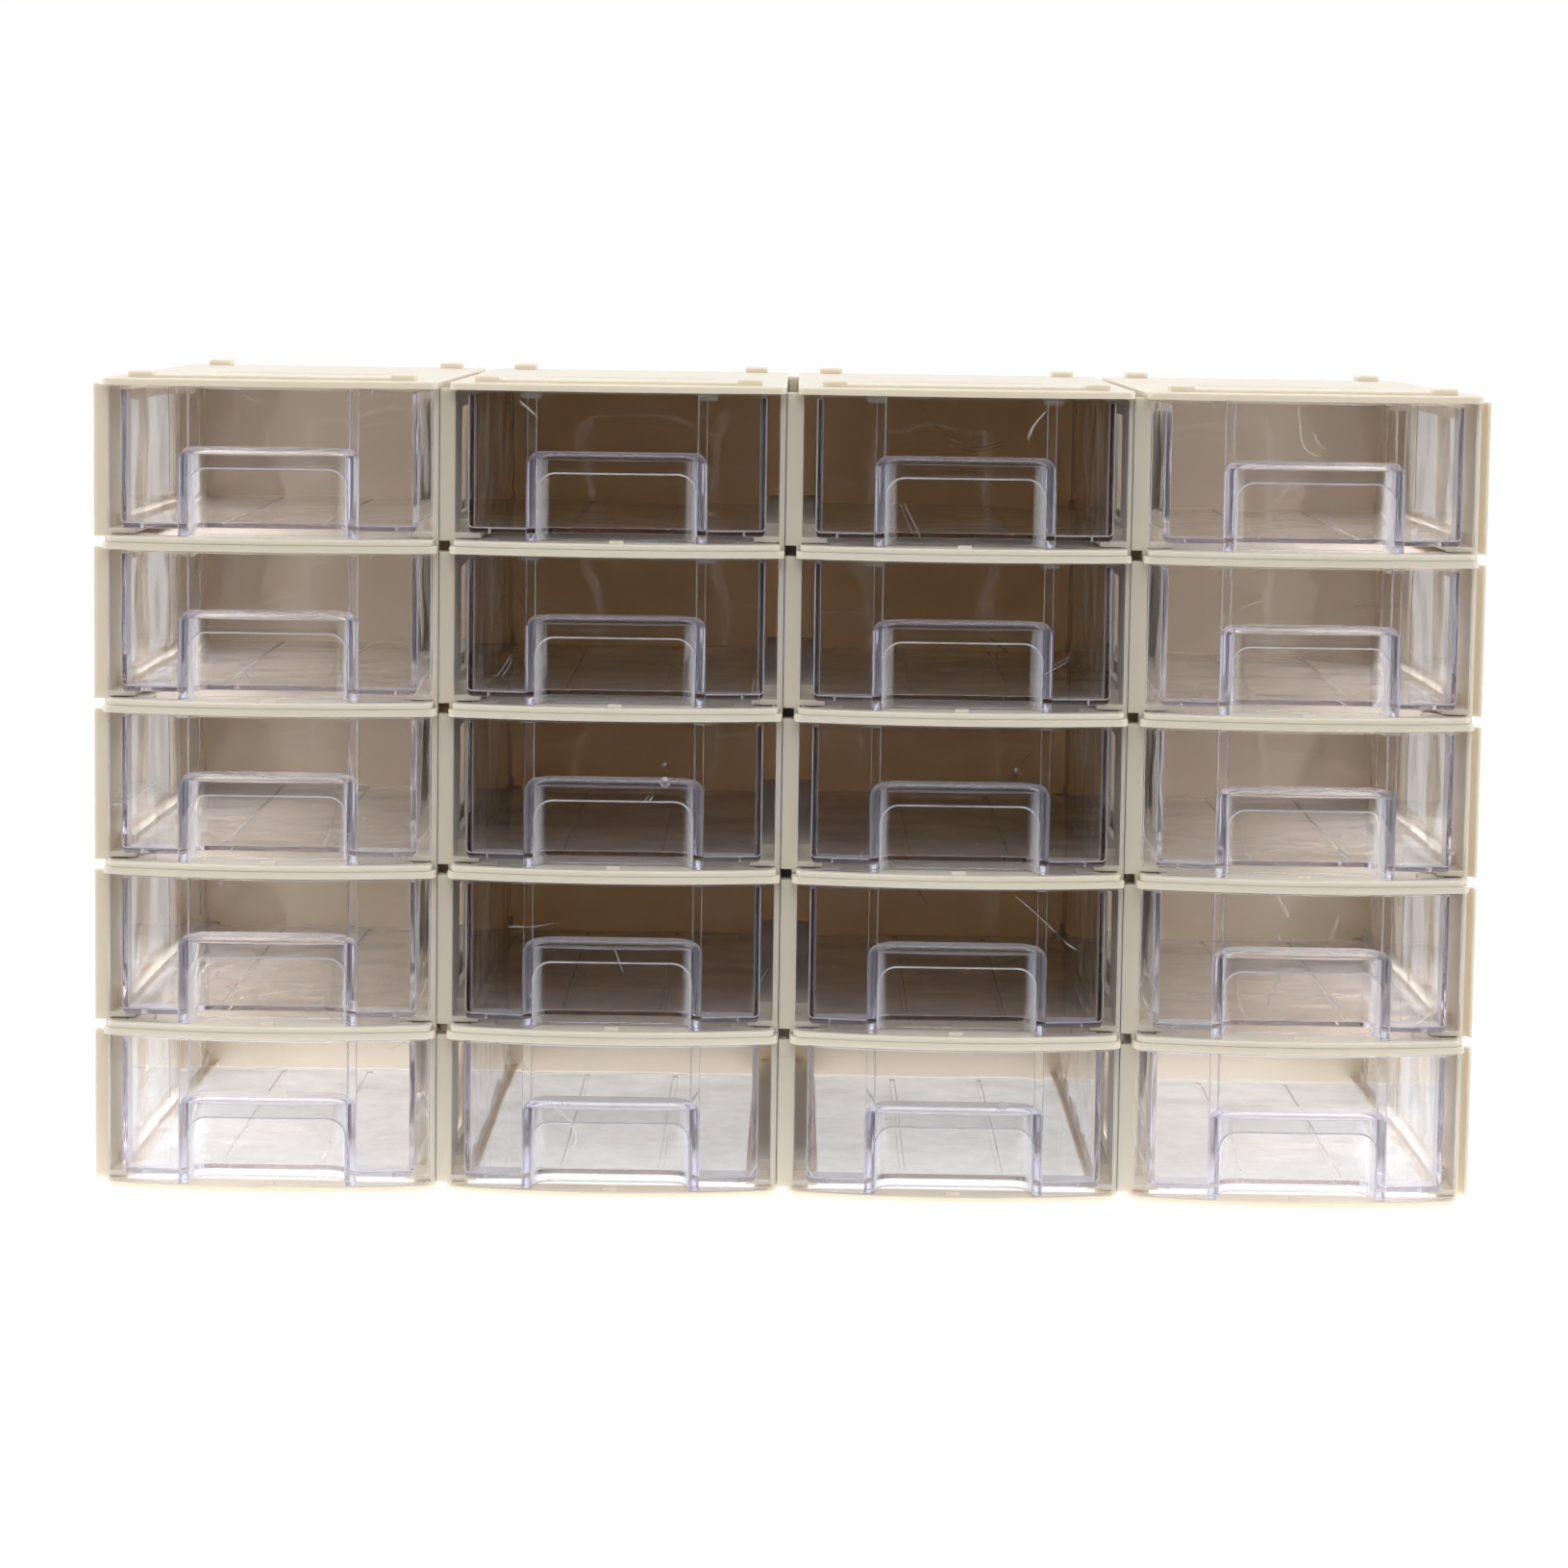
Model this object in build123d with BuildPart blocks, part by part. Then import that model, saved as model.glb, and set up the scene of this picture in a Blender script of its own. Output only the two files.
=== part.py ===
from build123d import *
import os
from math import sqrt

# A bank of stackable small-parts drawers. Millimetres, +Z up, the drawers open towards -Y.
# The origin is at the bottom, in the middle of the bank's width and depth.

# Bank
columns = 4
rows = 5
column_gap = 3.3          # between the top plates of two neighbouring housings

# Housing
housing_width = 94.1
housing_height = 46.0
housing_depth = 160.0
front_bow = 5.5           # how far the middle of the front bars stands ahead of their ends
bar_corner_radius = 2.5
top_bar_height = 2.1
bottom_bar_height = 1.65
bottom_bar_inset = 1.1    # the bottom bar is shorter than the top one by this at each end
bar_edge_round = 0.4
bar_depth = 9.6           # from the front of the bow to the back edge of both bars
post_setback = 10.5       # from the front of the bow to the front edges of the side walls
wall = 1.6
roof = 1.6
web_length = 3.0          # of the floor webs behind the front edges of the side walls
web_front_gap = 2.5       # of the webs' outer parts behind the bottom bar's end faces

# Drawer runners inside the housing
runner_lift = 2.15        # underside of the runners above the housing's bottom
runner_thickness = 1.5
runner_bearing = 3.0      # how far a runner reaches under the tray
guide_height = 3.0        # guide shoulder above the runner, beside the tray
guide_setback = 22.0

# Windows in the side walls, front one first
window_setbacks = (29.5, 64.3)
window_lengths = (27.5, 43.2)
window_lift = 8.0         # above the housing's bottom
window_top_drop = 7.4     # below the housing's top
window_corner = 1.0

# Stacking lugs and the ridge between the two front ones
lug_size = 7.0
lug_height = 1.8
lug_round = 0.5
lug_spacing = 73.7        # centre to centre across the housing
lug_clearance = 0.4       # to the bar in front of the front lugs and the wall behind the rear ones
ridge_height = 0.9
ridge_thickness = 1.6

# Raised pad in the middle of the top plate
pad_width = 50.0
pad_length = 21.0
pad_height = 0.3

# Ceiling stops for the drawer's rear wall
stop_offset = 24.8        # from the housing's middle plane
stop_width = 6.7
stop_taper = 0.8          # narrower by this at each side of its lower end
stop_height = 2.8
stop_thickness = 2.0
stop_gap = 0.6            # behind the closed drawer's finger pocket

# Detent on the bottom bar
detent_width = 3.8
detent_height = 0.8
detent_length = 2.2
detent_setback = 3.0

# Coupling flanges at the sides
flange_reach = 3.1
flange_thickness = 1.5
flange_lip = 0.9
flange_overlap = 1.4      # how far a lip reaches beyond its own flange
flange_gap = 0.3
flange_top_drop = 1.8
flange_bottom_lift = 1.3
rear_flange_setback = 125.0
rear_flange_top_drop = 0.3
rear_flange_round = 1.4

# Drawer
panel_thickness = 2.0
panel_setback = 0.8       # behind the front faces of the bars
panel_side_gap = 0.05     # inside the inner faces of the side walls
panel_bottom_gap = 0.3
panel_top_gap = 0.4
tray_overhang = 4.15      # the panel stands out beyond the tray by this at each side
tray_wall = 1.3
tray_floor = 1.3
tray_rear_gap = 15.6      # behind the closed tray, to the rear wall
tray_top_gap = 1.8        # below the ceiling
running_gap = 0.3
tray_edge_radius = 1.2
tray_corner_radius = 2.6  # of the rear corners, outside
panel_corner_radius = 1.6 # of the lower corners

# Finger pocket
pocket_width = 44.6
pocket_depth = 10.0
pocket_wall = 2.8
pocket_roof = 2.0
pocket_height = 23.1      # roof's underside above the panel's lower edge
pocket_corner = 6.0
lip_height = 3.75
lip_corner = 5.4
arch_round = 3.0
rib_thickness = 2.4
rib_top_gap = 0.5         # below the panel's upper edge

# Divider grooves
groove_width = 1.4
groove_depth = 0.45
floor_groove_offset = 14.0
floor_groove_end_gap = 4.0
wall_groove_setbacks = (74.0, 132.0)
wall_groove_lift = 5.0

# Worked out from the above
half_width = housing_width / 2
half_inside = half_width - wall
ceiling = housing_height - roof
bow_radius = (half_width**2 + front_bow**2) / (2 * front_bow)
column_pitch = housing_width + column_gap

runner_top = runner_lift + runner_thickness
panel_half = half_inside - panel_side_gap
panel_bottom = bottom_bar_height + panel_bottom_gap
panel_top = housing_height - top_bar_height - panel_top_gap
tray_half = panel_half - tray_overhang
tray_bottom = runner_top + running_gap
tray_top = ceiling - tray_top_gap
floor_top = tray_bottom + tray_floor
tray_back = housing_depth - wall - tray_rear_gap

pocket_half = pocket_width / 2
pocket_back = panel_setback + pocket_depth
pocket_ceiling = panel_bottom + pocket_height
pocket_shell_half = pocket_half + pocket_wall
pocket_shell_back = pocket_back + pocket_wall
pocket_shell_top = pocket_ceiling + pocket_roof
rib_inside = pocket_half + (pocket_wall - rib_thickness) / 2

lug_offset = lug_spacing / 2
front_lug_centre = bar_depth + lug_clearance + lug_size / 2
rear_lug_centre = housing_depth - wall - lug_clearance - lug_size / 2
stop_front = pocket_shell_back + stop_gap

signs = (-1, 1)
tolerance = 0.01          # for picking edges by their place


def bow(x, inset):
    """Distance behind the front of the bow, on the bowed face set back by inset, at x."""
    return bow_radius - sqrt((bow_radius - inset) ** 2 - x**2)


def bowed_outline(half, back, inset):
    """Closed outline with a bowed front edge, straight sides and a straight back edge."""
    corner = bow(half, inset)
    ThreePointArc((-half, corner), (0, inset), (half, corner))
    Polyline((half, corner), (half, back), (-half, back), (-half, corner))


def block(x_range, y_range, z_range, mode=Mode.ADD):
    """Rectangular block between the given limits."""
    x_low, x_high = x_range
    y_low, y_high = y_range
    z_low, z_high = z_range
    with Locations(((x_low + x_high) / 2, (y_low + y_high) / 2, (z_low + z_high) / 2)):
        Box(x_high - x_low, y_high - y_low, z_high - z_low, mode=mode)


def side_block(side, x_near, x_far, y_range, z_range, mode=Mode.ADD):
    """Rectangular block on one side, between two distances from the middle plane."""
    edges = sorted((side * x_near, side * x_far))
    block(edges, y_range, z_range, mode)


# Housing, in its own frame: x from the middle, y back from the front of the bow, z up from its base
with BuildPart() as housing:
    # Top plate and the two front bars: base, half width, depth, thickness
    plates = (
        (ceiling, half_width, housing_depth, roof),
        (housing_height - top_bar_height, half_width, bar_depth, top_bar_height),
        (0, half_width - bottom_bar_inset, bar_depth, bottom_bar_height),
    )
    for base, half, depth, thickness in plates:
        with BuildSketch(Plane.XY.offset(base)):
            with BuildLine():
                bowed_outline(half, depth, 0)
            make_face()
            fillet(vertices().group_by(Axis.Y)[0], bar_corner_radius)
        extrude(amount=thickness)
        if depth == bar_depth:
            bow_edges = housing.edges().filter_by(GeomType.CIRCLE).filter_by(
                lambda edge: edge.radius > housing_width
                and base - tolerance < edge.center().Z < base + thickness + tolerance
            )
            fillet(bow_edges, bar_edge_round)

    # Side walls, rear wall, and what ties the bottom bar to the walls
    web_back = post_setback + web_length
    web_inside = lug_offset + lug_size / 2 + lug_clearance
    bar_end = half_width - bottom_bar_inset
    web_front = bow(bar_end, 0) + web_front_gap
    web_heights = (0, bottom_bar_height)
    for side in signs:
        side_block(side, half_inside, half_width, (post_setback, housing_depth), (0, ceiling))
        side_block(side, web_inside, bar_end, (web_front, web_back), web_heights)
        side_block(side, web_inside, half_width, (post_setback, web_back), web_heights)
    block((-half_width, half_width), (housing_depth - wall, housing_depth), (0, ceiling))

    # Windows through both side walls
    window_height = housing_height - window_top_drop - window_lift
    with BuildSketch(Plane.YZ.offset(-half_width)):
        for setback, length in zip(window_setbacks, window_lengths):
            with Locations((setback + length / 2, window_lift + window_height / 2)):
                Rectangle(length, window_height)
        fillet(vertices(), window_corner)
    extrude(amount=housing_width, mode=Mode.SUBTRACT)

    # Runners with their guide shoulders
    for side in signs:
        runner_edge = tray_half - runner_bearing
        guide_face = tray_half + running_gap
        runner_along = (post_setback, housing_depth - wall)
        guide_along = (guide_setback, housing_depth - wall)
        side_block(side, runner_edge, half_inside, runner_along, (runner_lift, runner_top))
        side_block(side, guide_face, half_inside, guide_along, (runner_top, runner_top + guide_height))

    # Stacking lugs, ridge and pad on the top plate
    with BuildSketch(Plane.XY.offset(housing_height)):
        for side in signs:
            with Locations((side * lug_offset, front_lug_centre), (side * lug_offset, rear_lug_centre)):
                Rectangle(lug_size, lug_size)
    extrude(amount=lug_height)
    fillet(housing.edges().group_by(Axis.Z)[-1], lug_round)
    ridge_half = lug_offset - lug_size / 2
    ridge_front = bar_depth + lug_clearance
    block(
        (-ridge_half, ridge_half),
        (ridge_front, ridge_front + ridge_thickness),
        (housing_height, housing_height + ridge_height),
    )
    with BuildSketch(Plane.XY.offset(housing_height)):
        with Locations((0, housing_depth / 2)):
            Rectangle(pad_width, pad_length)
    extrude(amount=pad_height)

    # Ceiling stops
    with BuildSketch(Plane.XZ.offset(-stop_front)):
        for side in signs:
            with BuildLine():
                stop_half = stop_width / 2
                middle = side * stop_offset
                Polyline(
                    (middle - stop_half, ceiling),
                    (middle + stop_half, ceiling),
                    (middle + stop_half - stop_taper, ceiling - stop_height),
                    (middle - stop_half + stop_taper, ceiling - stop_height),
                    close=True,
                )
            make_face()
    extrude(amount=-stop_thickness)

    # Detent, a low rounded bump across the bottom bar's middle
    with BuildSketch(Plane.YZ.offset(-detent_width / 2)):
        with BuildLine():
            base = bottom_bar_height
            ThreePointArc(
                (detent_setback, base),
                (detent_setback + detent_length / 2, base + detent_height),
                (detent_setback + detent_length, base),
            )
            Line((detent_setback + detent_length, base), (detent_setback, base))
        make_face()
    extrude(amount=detent_width)

    # Coupling flanges: the left one laps in front of the right one of the neighbour
    flange_end = half_width + flange_reach
    flange_sets = (
        (post_setback, housing_height - flange_top_drop, 0),
        (rear_flange_setback, housing_height - rear_flange_top_drop, rear_flange_round),
    )
    for flange_front, flange_top, top_round in flange_sets:
        flange_heights = (flange_bottom_lift, flange_top)
        left_back = flange_front + flange_thickness
        right_front = left_back + flange_overlap + flange_gap
        block((-flange_end, -half_width), (flange_front, left_back), flange_heights)
        left_lip = (left_back, left_back + flange_overlap)
        block((-flange_end, -flange_end + flange_lip), left_lip, flange_heights)
        block((half_width, flange_end), (right_front, right_front + flange_thickness), flange_heights)
        right_lip = (right_front - flange_overlap, right_front)
        block((flange_end - flange_lip, flange_end), right_lip, flange_heights)
        if top_round:
            outer = housing.edges().filter_by(Axis.Y).filter_by(
                lambda edge: abs(abs(edge.center().X) - flange_end) < tolerance
                and abs(edge.center().Z - flange_top) < tolerance
                and edge.center().Y > flange_front
            )
            fillet(outer, top_round)
    housing.part.label = "housing"


# Drawer, in the same frame as its housing
with BuildPart() as drawer:
    # Tray block with rounded lower edges, hollowed from above
    tray_front = panel_setback + bow(tray_half, 0) + panel_thickness / 2
    block((-tray_half, tray_half), (tray_front, tray_back), (tray_bottom, tray_top))
    fillet(drawer.edges().filter_by(Axis.Z).group_by(Axis.Y)[-1], tray_corner_radius)
    floor_edges = drawer.faces().sort_by(Axis.Z)[0].edges() - drawer.edges().group_by(Axis.Y)[0]
    fillet(floor_edges, tray_edge_radius)
    inner_half = tray_half - tray_wall
    inner_back = tray_back - tray_wall
    block((-inner_half, inner_half), (0, inner_back), (floor_top, tray_top), Mode.SUBTRACT)
    inner_corners = drawer.edges().filter_by(Axis.Z).filter_by(
        lambda edge: abs(edge.center().Y - inner_back) < tolerance
    )
    fillet(inner_corners, tray_corner_radius - tray_wall)

    # Finger pocket's shell with the two ribs above it
    with BuildSketch(Plane.XY.offset(panel_bottom)):
        with BuildLine():
            bowed_outline(pocket_shell_half, pocket_shell_back, panel_setback + panel_thickness / 2)
        make_face()
        fillet(vertices().group_by(Axis.Y)[-1], pocket_corner + pocket_wall)
    extrude(amount=pocket_shell_top - panel_bottom)
    arch_edges = drawer.edges().filter_by(Axis.Y).filter_by(
        lambda edge: abs(edge.center().Z - pocket_shell_top) < tolerance
    )
    fillet(arch_edges, arch_round)
    rib_front = bow(pocket_shell_half, panel_setback) + panel_thickness / 2
    for side in signs:
        side_block(
            side,
            rib_inside,
            rib_inside + rib_thickness,
            (rib_front, pocket_shell_back - pocket_corner),
            (pocket_shell_top - arch_round, panel_top - rib_top_gap),
        )

    # Pocket's hollow, open at the front and at the bottom
    with BuildSketch():
        with BuildLine():
            bowed_outline(pocket_half, pocket_back, 0)
        make_face()
        fillet(vertices().group_by(Axis.Y)[-1], pocket_corner)
    extrude(amount=pocket_ceiling, mode=Mode.SUBTRACT)

    # Bowed front panel, less what lies behind it, with the arch of the finger lip
    with BuildSketch(Plane.XY.offset(panel_bottom)):
        with BuildLine():
            bowed_outline(panel_half, panel_setback + panel_thickness + front_bow, panel_setback)
        make_face()
        with BuildLine():
            bowed_outline(housing_width, housing_depth, panel_setback + panel_thickness)
        make_face(mode=Mode.SUBTRACT)
    extrude(amount=panel_top - panel_bottom)
    lower_corners = drawer.edges().filter_by(Axis.Y).filter_by(
        lambda edge: abs(abs(edge.center().X) - panel_half) < tolerance
        and abs(edge.center().Z - panel_bottom) < tolerance
    )
    fillet(lower_corners, panel_corner_radius)
    arch_top = pocket_ceiling - lip_height
    with BuildSketch(Plane.XZ):
        with Locations((0, arch_top / 2)):
            Rectangle(pocket_width, arch_top)
        fillet(vertices().group_by(Axis.Y)[-1], lip_corner)
    extrude(amount=-(pocket_back - pocket_corner), mode=Mode.SUBTRACT)

    # Divider grooves in the floor and in the side walls
    groove_half = groove_width / 2
    for side in signs:
        side_block(
            side,
            floor_groove_offset - groove_half,
            floor_groove_offset + groove_half,
            (pocket_shell_back + floor_groove_end_gap, tray_back - tray_wall - floor_groove_end_gap),
            (floor_top - groove_depth, floor_top),
            Mode.SUBTRACT,
        )
        for setback in wall_groove_setbacks:
            side_block(
                side,
                inner_half,
                inner_half + groove_depth,
                (setback - groove_half, setback + groove_half),
                (floor_top + wall_groove_lift, tray_top),
                Mode.SUBTRACT,
            )
    drawer.part.label = "drawer"


os.makedirs("parts", exist_ok=True)
half_depth = housing_depth / 2
for row in range(rows):
    for column in range(columns):
        cell = (
            (column - (columns - 1) / 2) * column_pitch,
            -half_depth,
            (rows - 1 - row) * housing_height,
        )
        place = f"r{row + 1}_c{column + 1}"
        for piece in (housing, drawer):
            with BuildPart() as placed:
                with Locations(cell):
                    add(piece.part)
            placed.part.label = f"{piece.part.label}_{place}"
            export_step(placed.part, f"parts/{placed.part.label}.step")

travel = tray_back - tray_wall - stop_front - stop_thickness
print("bank", columns, "x", rows, "drawer travel to the stops", travel)
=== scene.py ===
import math

import bpy
from mathutils import Matrix, Vector

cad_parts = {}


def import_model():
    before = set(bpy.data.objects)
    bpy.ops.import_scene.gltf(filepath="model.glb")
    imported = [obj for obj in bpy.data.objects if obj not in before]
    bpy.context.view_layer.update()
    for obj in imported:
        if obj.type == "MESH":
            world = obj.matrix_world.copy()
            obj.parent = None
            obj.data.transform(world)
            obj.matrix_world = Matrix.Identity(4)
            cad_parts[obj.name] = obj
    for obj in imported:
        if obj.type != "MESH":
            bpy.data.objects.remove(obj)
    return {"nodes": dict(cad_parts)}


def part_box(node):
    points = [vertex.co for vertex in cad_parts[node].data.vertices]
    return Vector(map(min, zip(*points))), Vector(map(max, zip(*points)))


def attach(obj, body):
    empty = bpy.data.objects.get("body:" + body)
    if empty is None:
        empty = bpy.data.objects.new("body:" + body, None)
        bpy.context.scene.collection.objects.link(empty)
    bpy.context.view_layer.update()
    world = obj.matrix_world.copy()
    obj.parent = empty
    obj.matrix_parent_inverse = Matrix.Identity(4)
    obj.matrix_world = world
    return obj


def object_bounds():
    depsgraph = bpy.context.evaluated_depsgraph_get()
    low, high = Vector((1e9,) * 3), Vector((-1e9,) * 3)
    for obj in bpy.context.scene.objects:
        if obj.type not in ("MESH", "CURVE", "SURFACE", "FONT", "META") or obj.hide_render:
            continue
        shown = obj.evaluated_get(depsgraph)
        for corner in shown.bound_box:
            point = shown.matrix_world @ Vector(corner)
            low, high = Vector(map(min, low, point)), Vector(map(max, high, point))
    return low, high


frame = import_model()
cad_low, cad_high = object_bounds()

# Lengths are in metres, angles in radians and colours linear, where nothing else is said
COLUMNS, ROWS = 4, 5

# Camera, fitted to the bar ends and lugs of the photograph
PHOTO_SIDE = 1631                    # pixels
FOCAL_PIXELS = 3789
AXIS_ROW = 630                       # the pixel row that the lens axis meets
CAMERA_PLACE = (0.0021, -1.092, 0.26025)
CAMERA_YAW = -0.0036
CAMERA_PITCH = 0.0897                # looking down
CAMERA_ROLL = 0.0140
SENSOR = 36.0                        # millimetres
CLIP_NEAR, CLIP_FAR = 0.05, 30.0

# Lamps: place, size and watts
LAMP_TARGET = (0, 0, 0.12)
SOFTBOXES = {
    "overhead": ((0, 0.1, 1.5), (1.6, 1.2), 2),
    "left_box": ((-1.2, -0.5, 0.5), (0.7, 1.1), 3.4),
    "right_box": ((1.2, -0.5, 0.5), (0.7, 1.1), 3.4),
    "front_fill": ((0, -1.7, 1.5), (1.4, 0.8), 11.5),
}
WINDOW_INSET = 0.0055                # of the window lamps from the model's sides
WINDOW_MIDDLE = 0.068                # behind the drawers' fronts
WINDOW_LAMP = (0.075, 0.018)
WINDOW_POWER = 0.095

# Surroundings. Directions run from -1 to 1 along each axis.
AMBIENT_TURN = (-0.9, 0.1)           # from the front to the back
AMBIENT_LEVELS = (0.10, 1.0)         # matte light at those two
SIDE_TURN = (0.75, 0.95)             # from ahead to the sides
SIDE_LEVEL = 0.5                     # light added there
BACKDROP_TURN = (-0.15, 0.15)        # from the dim room to the white backdrop
ROOM_LEVEL = 0.035                   # brightness of the dim room behind the camera

# Table
TABLE_SIDE = 6.0
TABLE_AHEAD = 0.55                   # how far it reaches in front of the model's middle
TABLE_DROP = 0.0002                  # under the model's lowest point
TABLE_COLOUR = (0.86, 0.86, 0.86)
TABLE_LEVEL = 1.08                   # to the camera, mirrored and through the plastic
TABLE_LIGHT = 1.5                    # what its part under the bank sends up into the lowest row
NEAR_PART = -0.10                    # its part in front of this mirrors as dark as the room
NEAR_FADE = 0.03
UNDER_FADE = 0.01                    # where the lit part ends, beside and behind the bank
SHADOW_SHARE = 0.14                  # of its white, which the object's shadow takes away

# Thin rounded edges on the drawers' fronts, from a drawer's middle and lower edge. Their milky
# white colour is a painted highlight along the lip's arch and the tray's seams
BOW_RADIUS = 0.2040
LIP_HALF = 0.0223                    # the arch of the finger lip
LIP_FOOT, LIP_TOP = 0.0020, 0.0193
LIP_CORNER = 0.0054
LIP_STEPS = 8
LIP_BEAD = 0.00026
LIP_SETBACK = 0.0003                 # of the bead's middle behind the panel's face
SEAM_OUTSIDE, SEAM_INSIDE = 0.0414, 0.0254
SEAM_TOP, SEAM_FLOOR = 0.0406, 0.0035
SEAM_ROUND = 0.0010
SEAM_BEAD = 0.0002
SEAM_SETBACK = 0.0022                # on the panel's back

# Cream plastic
CREAM = (0.800, 0.735, 0.615)
CREAM_AGED = (0.765, 0.695, 0.560)
CREAM_DEPTHS = (1.0, 0.90, 0.84)     # how far red, green and blue light travel in it
CREAM_SCALE = 0.0019                 # for the first of them
CREAM_IOR = 1.53
SINK_DEPTH = 0.0006
GRAIN_DEPTH = 0.00002

# Clear plastic
POLYSTYRENE_IOR = 1.59
CLEAR_TINT = (0.985, 0.985, 0.995)
SIDE_HAZE = (0.86, 0.86, 0.95)
STREAK_STRETCH = (1.0, 1.0, 0.12)    # upright
POCKET_HAZE = 0.48
POCKET_BACK = cad_low[1] + 0.0140    # where the finger pockets end, from the front
POCKET_FADE = 0.001
EDGE_VIOLET = (0.72, 0.70, 0.90)
EDGE_DENSITY = 14.0                  # per metre of plastic
EDGE_ROUND = 0.0004
WAVE_DEPTH = 0.0007
MARK_SIZE = 0.0015
MARK_DEPTH = 0.0004
MOULD_MARKS = (
    (-0.0342, -0.0787, 0.1229),
    (-0.0342, -0.0787, 0.1189),
    (0.0643, -0.0786, 0.1229),
    (0.0622, -0.0787, 0.0278),
)
LAMP_SHARE = (0.92, 0.92, 0.94)      # what each face lets a lamp through
DEEPEST_GLOSSY = 2.5                 # reflections inside an edge before the ray is let out
# Milky white of the edge tubes: a painted highlight
BEAD_HIGHLIGHT_COLOUR = (0.93, 0.93, 0.98)
BEAD_ROUGHNESS = 0.28
BEAD_WAVE_DEPTH = 0.0002


def node(tree, kind, label, **values):
    """A shader node with its input sockets set by name, spaces written as underscores."""
    made = tree.nodes.new(kind)
    made.label = label
    for name, value in values.items():
        made.inputs[name.replace("_", " ")].default_value = value
    return made


def noise(tree, place, label, scale, detail=2.0, roughness=0.5):
    """A noise texture in metres of the model's own space."""
    made = node(
        tree, "ShaderNodeTexNoise", label, Scale=scale, Detail=detail, Roughness=roughness,
    )
    tree.links.new(place, made.inputs["Vector"])
    return made.outputs["Fac"]


def to_range(tree, source, label, old, new):
    """Maps source from the old range to the new one, clamped."""
    made = node(
        tree, "ShaderNodeMapRange", label,
        From_Min=old[0], From_Max=old[1], To_Min=new[0], To_Max=new[1],
    )
    tree.links.new(source, made.inputs["Value"])
    return made.outputs["Result"]


def math_node(tree, operation, label, first, second=0):
    """A math node on two sockets or numbers."""
    made = tree.nodes.new("ShaderNodeMath")
    made.operation = operation
    made.label = label
    for socket, value in zip(made.inputs, (first, second)):
        if isinstance(value, (int, float)):
            socket.default_value = value
        else:
            tree.links.new(value, socket)
    return made.outputs[0]


def mix_colours(tree, factor, label, first, second):
    """The first colour where factor is 0, and the second where it is 1."""
    made = tree.nodes.new("ShaderNodeMix")
    made.label = label
    made.data_type = "RGBA"
    made.inputs["A"].default_value = (*first, 1)
    made.inputs["B"].default_value = (*second, 1)
    tree.links.new(factor, made.inputs["Factor"])
    return made.outputs["Result"]


def mix_shaders(tree, factor, first, second):
    """The first shader node where factor is 0, and the second where it is 1."""
    made = tree.nodes.new("ShaderNodeMixShader")
    for socket, source in zip(made.inputs, (factor, first.outputs[0], second.outputs[0])):
        tree.links.new(source, socket)
    return made


def axes(tree, vector):
    """A vector's X, Y and Z outputs."""
    made = tree.nodes.new("ShaderNodeSeparateXYZ")
    tree.links.new(vector, made.inputs[0])
    return made.outputs


def bump(tree, height, label, distance, strength=1.0, below=None):
    """A bump node, stacked on an earlier one where below is given."""
    made = node(tree, "ShaderNodeBump", label, Strength=strength, Distance=distance)
    tree.links.new(height, made.inputs["Height"])
    if below is not None:
        tree.links.new(below, made.inputs["Normal"])
    return made.outputs["Normal"]


def new_material(name):
    """An empty node material with its output, and the model-space coordinate."""
    material = bpy.data.materials.new(name)
    material.use_nodes = True
    tree = material.node_tree
    tree.nodes.clear()
    output = tree.nodes.new("ShaderNodeOutputMaterial")
    place = tree.nodes.new("ShaderNodeTexCoord").outputs["Object"]
    return material, tree, output, place


def cream_plastic():
    """Satin moulded cream plastic that lets some light through, with fine grain and yellowing."""
    material, tree, output, place = new_material("cream_plastic")
    shader = node(
        tree, "ShaderNodeBsdfPrincipled", "plastic", IOR=CREAM_IOR,
        Subsurface_Weight=1.0, Subsurface_Radius=CREAM_DEPTHS, Subsurface_Scale=CREAM_SCALE,
    )
    clouds = noise(tree, place, "flow clouds", scale=22.0, detail=3.0)
    aged = to_range(tree, clouds, "yellowing", (0.42, 0.72), (0.0, 0.55))
    colour = mix_colours(tree, aged, "cream", CREAM, CREAM_AGED)
    tree.links.new(colour, shader.inputs["Base Color"])

    handling = noise(tree, place, "handling", scale=90.0, detail=4.0, roughness=0.6)
    satin = to_range(tree, handling, "satin", (0.3, 0.7), (0.34, 0.50))
    tree.links.new(satin, shader.inputs["Roughness"])

    waves = noise(tree, place, "sink waves", scale=28.0, detail=1.0)
    grain = noise(tree, place, "spark grain", scale=2600.0, roughness=0.6)
    normal = bump(tree, waves, "sink", SINK_DEPTH)
    normal = bump(tree, grain, "grain", GRAIN_DEPTH, strength=0.6, below=normal)
    tree.links.new(normal, shader.inputs["Normal"])
    tree.links.new(shader.outputs[0], output.inputs["Surface"])
    return material


def streaks(tree, place):
    """Upright streaks of haze."""
    stretch = tree.nodes.new("ShaderNodeMapping")
    stretch.inputs["Scale"].default_value = STREAK_STRETCH
    tree.links.new(place, stretch.inputs["Vector"])
    height = noise(tree, stretch.outputs[0], "streaks", scale=170.0, roughness=0.6)
    return to_range(tree, height, "streaked", (0.35, 0.75), (0.02, 0.14))


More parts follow.
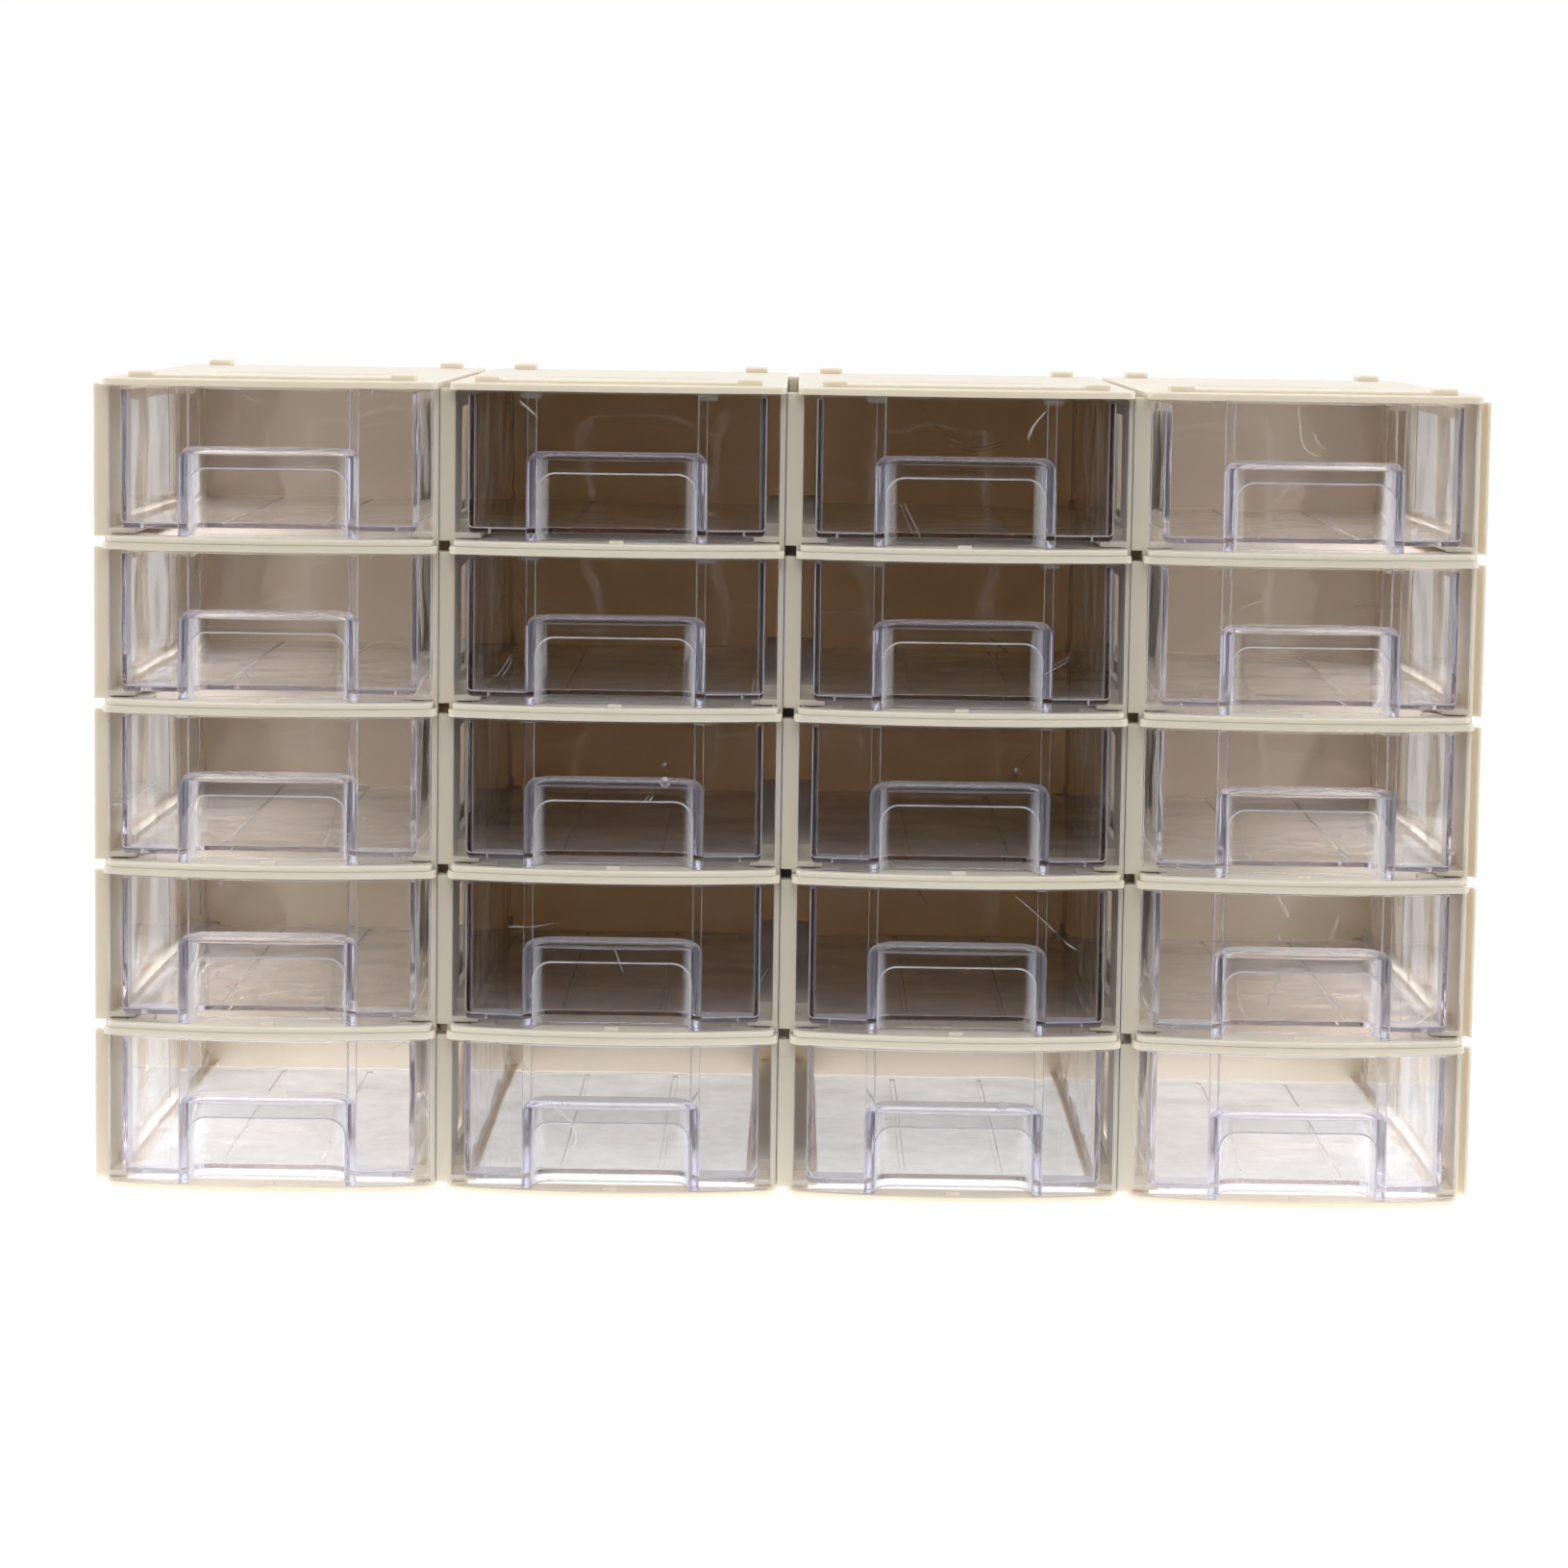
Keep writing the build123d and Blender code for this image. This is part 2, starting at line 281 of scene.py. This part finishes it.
def hairlines(tree, place):
    """Hairline scratches along the middle level of a wide noise, broken up by a finer one."""
    paths = noise(tree, place, "scratch paths", scale=13.0, detail=1.0)
    off_path = math_node(tree, "SUBTRACT", "from path", paths, 0.5)
    off_path = math_node(tree, "ABSOLUTE", "off path", off_path)
    line = to_range(tree, off_path, "hairline", (0.0004, 0.0012), (1.0, 0.0))
    ends = noise(tree, place, "scratch ends", scale=60.0, detail=1.0)
    broken = to_range(tree, ends, "broken", (0.60, 0.64), (0.0, 0.35))
    return math_node(tree, "MULTIPLY", "scratches", line, broken)


def moulded_normal(tree, place):
    """Rounded edges, wide mould waves and the small round mould marks."""
    soft_edge = node(tree, "ShaderNodeBevel", "rounded edges", Radius=EDGE_ROUND)
    waves = noise(tree, place, "mould waves", scale=32.0, detail=1.0)
    normal = bump(tree, waves, "waves", WAVE_DEPTH, below=soft_edge.outputs[0])
    for spot in MOULD_MARKS:
        away = node(tree, "ShaderNodeVectorMath", "away from a mould mark")
        away.operation = "DISTANCE"
        tree.links.new(place, away.inputs[0])
        away.inputs[1].default_value = spot
        distance = away.outputs["Value"]
        ring = to_range(tree, distance, "ring", (MARK_SIZE / 3, MARK_SIZE), (1.0, 0.0))
        normal = bump(tree, ring, "mould mark", MARK_DEPTH, below=normal)
    return normal


def clear_plastic():
    """Clear moulded polystyrene with a violet tint in its depth, haze, waves and hairlines."""
    material, tree, output, place = new_material("clear_plastic")
    shader = node(tree, "ShaderNodeBsdfPrincipled", "polystyrene", IOR=POLYSTYRENE_IOR)

    # The faces along the mould's pull are hazier than the polished front, most in the pocket
    facing = axes(tree, tree.nodes.new("ShaderNodeNewGeometry").outputs["True Normal"])
    front = math_node(tree, "ABSOLUTE", "front", facing["Y"])
    side = to_range(tree, front, "side", (0.35, 0.85), (1.0, 0.0))
    pocket_edge = (POCKET_BACK, POCKET_BACK + POCKET_FADE)
    pocket = to_range(tree, axes(tree, place)["Y"], "pocket", pocket_edge, (POCKET_HAZE, 0.0))
    haze = math_node(tree, "ADD", "both", streaks(tree, place), pocket)
    haze = math_node(tree, "MULTIPLY", "haze", side, haze)
    polished = math_node(tree, "SUBTRACT", "polished front", 1.0, side)
    scratches = math_node(tree, "MULTIPLY", "on the front", hairlines(tree, place), polished)
    haze = math_node(tree, "MAXIMUM", "haze and scratches", haze, scratches)
    clear = math_node(tree, "SUBTRACT", "clear", 1.0, haze)
    tree.links.new(clear, shader.inputs["Transmission Weight"])
    tinted = math_node(tree, "MULTIPLY", "tinted", side, pocket)
    colour = mix_colours(tree, tinted, "tint", CLEAR_TINT, SIDE_HAZE)
    tree.links.new(colour, shader.inputs["Base Color"])

    scuffs = noise(tree, place, "scuffs", scale=160.0, detail=5.0, roughness=0.7)
    dull = to_range(tree, scuffs, "dull", (0.5, 0.8), (0.0, 0.08))
    tree.links.new(dull, shader.inputs["Roughness"])
    tree.links.new(moulded_normal(tree, place), shader.inputs["Normal"])

    # Lamps reach what is behind the plastic, and light caught in an edge leaves it
    see_through = node(tree, "ShaderNodeBsdfTransparent", "for lamps", Color=(*LAMP_SHARE, 1))
    rays = tree.nodes.new("ShaderNodeLightPath").outputs
    caught = math_node(tree, "GREATER_THAN", "caught", rays["Glossy Depth"], DEEPEST_GLOSSY)
    let_out = math_node(tree, "MAXIMUM", "let out", rays["Is Shadow Ray"], caught)
    mix = mix_shaders(tree, let_out, shader, see_through)
    tree.links.new(mix.outputs[0], output.inputs["Surface"])

    depth = node(
        tree, "ShaderNodeVolumeAbsorption", "violet depth",
        Color=(*EDGE_VIOLET, 1), Density=EDGE_DENSITY,
    )
    tree.links.new(depth.outputs[0], output.inputs["Volume"])
    return material


def painted_highlight_edge():
    """Satin, milky white rounded edge of the clear plastic. The milky white is a painted highlight
    standing in for the glint of a clear edge.
    """
    material, tree, output, place = new_material("painted_highlight_edge")
    shader = node(
        tree, "ShaderNodeBsdfPrincipled", "satin edge",
        Base_Color=(*BEAD_HIGHLIGHT_COLOUR, 1), IOR=POLYSTYRENE_IOR, Roughness=BEAD_ROUGHNESS,
    )
    flow = noise(tree, place, "flow along the edge", scale=240.0, detail=3.0, roughness=0.6)
    clear = to_range(tree, flow, "clear spots", (0.35, 0.7), (0.35, 0.75))
    tree.links.new(clear, shader.inputs["Transmission Weight"])
    tree.links.new(bump(tree, flow, "edge waves", BEAD_WAVE_DEPTH), shader.inputs["Normal"])
    tree.links.new(shader.outputs[0], output.inputs["Surface"])
    return material


def bowed(x):
    """How far a drawer's front stands behind its middle at x from the middle."""
    return BOW_RADIUS - math.sqrt(BOW_RADIUS**2 - x**2)


def bead(kind, place, outline, setback, thickness, material):
    """Rounded edge at a setback from the bowed front, through (x, z) from the lower middle."""
    low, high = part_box(f"drawer_{place}")
    middle = (low[0] + high[0]) / 2
    curve = bpy.data.curves.new(f"{kind}_{place}", "CURVE")
    curve.dimensions = "3D"
    curve.bevel_depth = thickness
    curve.bevel_resolution = 2
    curve.use_fill_caps = True
    line = curve.splines.new("POLY")
    line.points.add(len(outline) - 1)
    for point, (x, z) in zip(line.points, outline):
        point.co = (middle + x, low[1] + setback + bowed(x), low[2] + z, 1)
    curve.materials.append(material)
    piece = bpy.data.objects.new(f"{kind}_{place}", curve)
    bpy.context.scene.collection.objects.link(piece)
    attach(piece, f"drawer_{place}")


def lip_outline():
    """The arch of the finger lip, from its left foot to its right one."""
    across, up = LIP_HALF - LIP_CORNER, LIP_TOP - LIP_CORNER
    outline = [(-LIP_HALF, LIP_FOOT)]
    for side in (-1, 1):
        for step in range(LIP_STEPS + 1):
            climbed = step if side < 0 else LIP_STEPS - step
            turn = math.radians(90 * climbed / LIP_STEPS)
            outline.append((
                side * (across + LIP_CORNER * math.cos(turn)),
                up + LIP_CORNER * math.sin(turn),
            ))
    outline.append((LIP_HALF, LIP_FOOT))
    return outline


def seam_outline(side):
    """Where the tray's wall and floor meet the panel on one side of the finger pocket."""
    return [
        (side * SEAM_OUTSIDE, SEAM_TOP),
        (side * SEAM_OUTSIDE, SEAM_FLOOR + SEAM_ROUND),
        (side * (SEAM_OUTSIDE - SEAM_ROUND / 3), SEAM_FLOOR + SEAM_ROUND / 3),
        (side * (SEAM_OUTSIDE - SEAM_ROUND), SEAM_FLOOR),
        (side * (SEAM_OUTSIDE + SEAM_INSIDE) / 2, SEAM_FLOOR),
        (side * SEAM_INSIDE, SEAM_FLOOR),
    ]


def dress(name, material):
    """Gives a CAD node its material in every slot."""
    for slot in frame["nodes"][name].material_slots:
        slot.material = material


def floor():
    """White table that keeps a shadow, mirrors dark in front and lights the lowest row."""
    bpy.ops.mesh.primitive_plane_add(
        size=TABLE_SIDE, location=(0, TABLE_SIDE / 2 - TABLE_AHEAD, cad_low[2] - TABLE_DROP),
    )
    table = bpy.context.active_object
    table.name = "table"
    material, tree, output, _ = new_material("white_table")
    matte = node(tree, "ShaderNodeBsdfDiffuse", "matte", Color=(*TABLE_COLOUR, 1))
    glow = node(tree, "ShaderNodeEmission", "white", Color=(1, 1, 1, 1))
    spot = axes(tree, tree.nodes.new("ShaderNodeNewGeometry").outputs["Position"])
    rays = tree.nodes.new("ShaderNodeLightPath").outputs
    near = to_range(tree, spot["Y"], "near", (NEAR_PART - NEAR_FADE, NEAR_PART), (1.0, 0.0))

    # How bright it glows
    seen = math_node(tree, "MAXIMUM", "seen", rays["Is Camera Ray"], rays["Is Glossy Ray"])
    seen = math_node(tree, "MAXIMUM", "seen through", seen, rays["Is Transmission Ray"])
    level = to_range(tree, seen, "level", (0.0, 1.0), (TABLE_LIGHT, TABLE_LEVEL))
    mirrored = math_node(tree, "MULTIPLY", "mirrored near part", rays["Is Glossy Ray"], near)
    darker = to_range(tree, mirrored, "dark where mirrored", (0.0, 1.0), (1.0, ROOM_LEVEL))
    strength = math_node(tree, "MULTIPLY", "strength", level, darker)
    tree.links.new(strength, glow.inputs["Strength"])

    # Where it glows: to rays that see it, and to all under the bank, less the camera's shadow
    side_edge = (cad_high[0], cad_high[0] + UNDER_FADE)
    back_edge = (cad_high[1], cad_high[1] + UNDER_FADE)
    across = math_node(tree, "ABSOLUTE", "across", spot["X"])
    between = to_range(tree, across, "between the sides", side_edge, (1.0, 0.0))
    ahead = to_range(tree, spot["Y"], "ahead of the back", back_edge, (1.0, 0.0))
    under = math_node(tree, "MULTIPLY", "under the bank", between, ahead)
    far = math_node(tree, "SUBTRACT", "far", 1.0, near)
    lit_part = math_node(tree, "MULTIPLY", "lit from below", under, far)
    glowing = math_node(tree, "MAXIMUM", "glowing", seen, lit_part)
    shadow = math_node(tree, "MULTIPLY", "shadow", rays["Is Camera Ray"], SHADOW_SHARE)
    glowing = math_node(tree, "SUBTRACT", "less its shadow", glowing, shadow)
    mix = mix_shaders(tree, glowing, matte, glow)
    tree.links.new(mix.outputs[0], output.inputs["Surface"])
    table.data.materials.append(material)


def world():
    """White to the camera, dim in front to what mirrors it, and soft light to matte surfaces."""
    scene_world = bpy.data.worlds.new("studio")
    scene_world.use_nodes = True
    bpy.context.scene.world = scene_world
    tree = scene_world.node_tree
    tree.nodes.clear()
    output = tree.nodes.new("ShaderNodeOutputWorld")
    kind, plain = "ShaderNodeBackground", (1, 1, 1, 1)
    ambient = node(tree, kind, "ambient", Color=plain)
    white = node(tree, kind, "white", Color=plain, Strength=1.0)
    room = node(tree, kind, "dim room in front", Color=plain, Strength=ROOM_LEVEL)
    toward = axes(tree, tree.nodes.new("ShaderNodeTexCoord").outputs["Generated"])

    around = to_range(tree, toward["Y"], "around", AMBIENT_TURN, AMBIENT_LEVELS)
    sideways = math_node(tree, "ABSOLUTE", "sideways", toward["X"])
    beside = to_range(tree, sideways, "beside", SIDE_TURN, (0.0, SIDE_LEVEL))
    level = math_node(tree, "ADD", "level", around, beside)
    tree.links.new(level, ambient.inputs["Strength"])
    backdrop = to_range(tree, toward["Y"], "backdrop", BACKDROP_TURN, (0.0, 1.0))
    studio = mix_shaders(tree, backdrop, room, white)

    rays = tree.nodes.new("ShaderNodeLightPath").outputs
    seen = math_node(
        tree, "MAXIMUM", "mirrored or through", rays["Is Glossy Ray"], rays["Is Transmission Ray"],
    )
    unlit = math_node(tree, "LESS_THAN", "lights nothing matte", rays["Diffuse Depth"], 0.5)
    seen = math_node(tree, "MULTIPLY", "seen", seen, unlit)
    lit = mix_shaders(tree, seen, ambient, studio)
    mix = mix_shaders(tree, rays["Is Camera Ray"], lit, white)
    tree.links.new(mix.outputs[0], output.inputs["Surface"])


def softbox(name, place, target, size, power):
    """Rectangular area lamp that faces a point."""
    lamp = bpy.data.lights.new(name, "AREA")
    lamp.shape = "RECTANGLE"
    lamp.size, lamp.size_y = size
    lamp.energy = power
    holder = bpy.data.objects.new(name, lamp)
    bpy.context.scene.collection.objects.link(holder)
    holder.location = place
    holder.rotation_mode = "QUATERNION"
    holder.rotation_quaternion = (Vector(target) - Vector(place)).to_track_quat("-Z", "Y")
    return holder


def lights():
    """The softboxes, and a lamp inside each window of the outer columns."""
    for name, (place, size, power) in SOFTBOXES.items():
        softbox(name, place, LAMP_TARGET, size, power)

    # What the bright surroundings send in through the windows, unseen itself
    for row in range(1, ROWS + 1):
        for column, side in ((1, -1), (COLUMNS, 1)):
            low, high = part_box(f"drawer_r{row}_c{column}")
            x = side * (cad_high[0] - WINDOW_INSET)
            y, z = low[1] + WINDOW_MIDDLE, (low[2] + high[2]) / 2
            name = f"window_light_r{row}_c{column}"
            lamp = softbox(name, (x, y, z), (0, y, z), WINDOW_LAMP, WINDOW_POWER)
            lamp.visible_camera = False
            lamp.visible_glossy = False
            lamp.visible_transmission = False


def camera():
    """The photograph's viewpoint."""
    yaw, pitch, roll = CAMERA_YAW, CAMERA_PITCH, CAMERA_ROLL
    forward = Vector((
        math.sin(yaw) * math.cos(pitch),
        math.cos(yaw) * math.cos(pitch),
        -math.sin(pitch),
    ))
    level = Vector((math.cos(yaw), -math.sin(yaw), 0))
    upright = level.cross(forward)
    right = level * math.cos(roll) + upright * math.sin(roll)
    up = right.cross(forward)
    data = bpy.data.cameras.new("photo_camera")
    data.sensor_width = SENSOR
    data.lens = SENSOR * FOCAL_PIXELS / PHOTO_SIDE
    data.shift_y = (AXIS_ROW - PHOTO_SIDE / 2) / PHOTO_SIDE
    data.clip_start, data.clip_end = CLIP_NEAR, CLIP_FAR
    holder = bpy.data.objects.new("photo_camera", data)
    bpy.context.scene.collection.objects.link(holder)
    turn = Matrix((right, up, -forward)).transposed().to_4x4()
    holder.matrix_world = Matrix.Translation(CAMERA_PLACE) @ turn
    bpy.context.scene.camera = holder


housing_material = cream_plastic()
drawer_material = clear_plastic()
for name in frame["nodes"]:
    dress(name, drawer_material if name.startswith("drawer") else housing_material)
# Milky white tubes on each drawer's lip arch and seams: real rounded edges whose colour is a
# painted highlight
highlight_edge_material = painted_highlight_edge()
for row in range(1, ROWS + 1):
    for column in range(1, COLUMNS + 1):
        cell = f"r{row}_c{column}"
        bead("lip_bead", cell, lip_outline(), LIP_SETBACK, LIP_BEAD, highlight_edge_material)
        bead("left_seam", cell, seam_outline(-1), SEAM_SETBACK, SEAM_BEAD, highlight_edge_material)
        bead("right_seam", cell, seam_outline(1), SEAM_SETBACK, SEAM_BEAD, highlight_edge_material)
floor()
world()
lights()
camera()
bpy.context.scene.view_settings.view_transform = "Standard"
